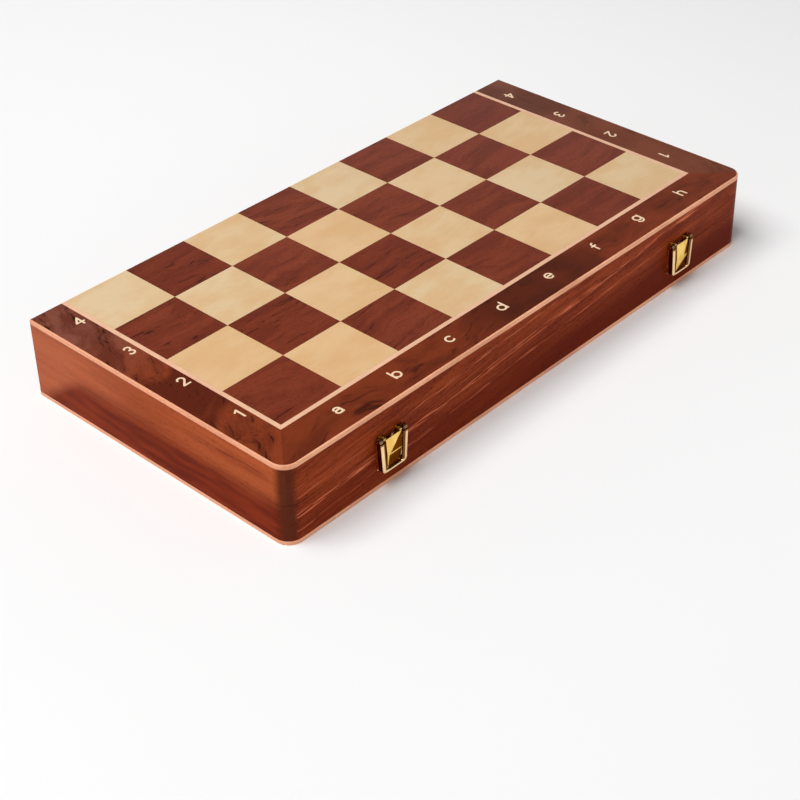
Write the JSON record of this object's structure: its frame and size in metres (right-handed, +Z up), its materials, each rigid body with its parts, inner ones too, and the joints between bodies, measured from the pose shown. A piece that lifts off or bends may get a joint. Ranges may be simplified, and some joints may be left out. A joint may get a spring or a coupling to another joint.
{
  "type": "folding chess box",
  "caption": "Shallow wooden box of two trays hinged along a long side; the outer faces are the halves of a chess board and two sprung brass hasps hold the lid.",
  "frame": {"origin": "middle of the underside of the closed box, halfway along its length and between its two long wooden sides", "axes": "+Z up, +X along the letter row from a to h, +Y from the latch side to the hinge side"},
  "size_m": [0.386, 0.2008, 0.0492],
  "materials": {
    "plywood": "raw thin plywood, hidden under veneer and felt",
    "edging_wood": "light reddish strip, glossy clear lacquer",
    "dark_veneer": "dark brown veneer, glossy clear lacquer",
    "light_veneer": "pale veneer, glossy clear lacquer",
    "stringing_veneer": "pale pinkish veneer, glossy clear lacquer",
    "inlay_veneer": "pale veneer lettering, glossy clear lacquer",
    "border_veneer": "very dark figured veneer, glossy clear lacquer",
    "case_wood": "red-brown solid wood, satin to glossy lacquer",
    "lining_felt": "thin dark green felt",
    "hinge_brass": "plain brass, lightly brushed",
    "pin_steel": "plain drawn steel",
    "screw_brass": "plain brass",
    "nail_brass": "brass plated",
    "latch_brass": "thin pressed sheet, bright brass plated"
  },
  "bodies": {
    "base": {"base_back_wall": "case_wood", "base_border_front": "border_veneer", "base_border_left": "border_veneer", "base_border_right": "border_veneer", "base_dark_squares": "dark_veneer", "base_edging": "edging_wood", "base_floor_felt": "lining_felt", "base_front_wall": "case_wood", "base_hinge_leaf_left": "hinge_brass", "base_hinge_leaf_right": "hinge_brass", "base_hinge_screws": "screw_brass", "base_latch_nails": "nail_brass", "base_left_wall": "case_wood", "base_letters": "inlay_veneer", "base_light_squares": "light_veneer", "base_numbers": "inlay_veneer", "base_panel": "plywood", "base_right_wall": "case_wood", "base_stringing": "stringing_veneer", "base_wall_felt": "lining_felt", "catch_plate_left": "latch_brass", "catch_plate_right": "latch_brass", "hinge_pin_left": "pin_steel", "hinge_pin_right": "pin_steel"},
    "lid": {"latch_pins_left": "nail_brass", "latch_pins_right": "nail_brass", "lid_back_wall": "case_wood", "lid_border_front": "border_veneer", "lid_border_left": "border_veneer", "lid_border_right": "border_veneer", "lid_dark_squares": "dark_veneer", "lid_edging": "edging_wood", "lid_floor_felt": "lining_felt", "lid_front_wall": "case_wood", "lid_hinge_leaf_left": "hinge_brass", "lid_hinge_leaf_right": "hinge_brass", "lid_hinge_screws": "screw_brass", "lid_latch_nails": "nail_brass", "lid_latch_plate_left": "latch_brass", "lid_latch_plate_right": "latch_brass", "lid_left_wall": "case_wood", "lid_letters": "inlay_veneer", "lid_light_squares": "light_veneer", "lid_numbers": "inlay_veneer", "lid_panel": "plywood", "lid_right_wall": "case_wood", "lid_stringing": "stringing_veneer", "lid_wall_felt": "lining_felt"},
    "hasp_left": {"hasp_left": "latch_brass"},
    "hasp_right": {"hasp_right": "latch_brass"}
  },
  "joints": [
    {"name": "lid_hinge", "type": "hinge", "parent": "base", "child": "lid", "pos_m": [0, 0.09705, 0.0246], "axis": [-1, 0, 0], "range_deg": [0, 180]},
    {"name": "hasp_left_hinge", "type": "hinge", "parent": "lid", "child": "hasp_left", "pos_m": [-0.1223, -0.09925, 0.0315], "axis": [-1, 0, 0], "range_deg": [0, 120]},
    {"name": "hasp_right_hinge", "type": "hinge", "parent": "lid", "child": "hasp_right", "pos_m": [0.1257, -0.09925, 0.0315], "axis": [-1, 0, 0], "range_deg": [0, 120]}
  ]
}
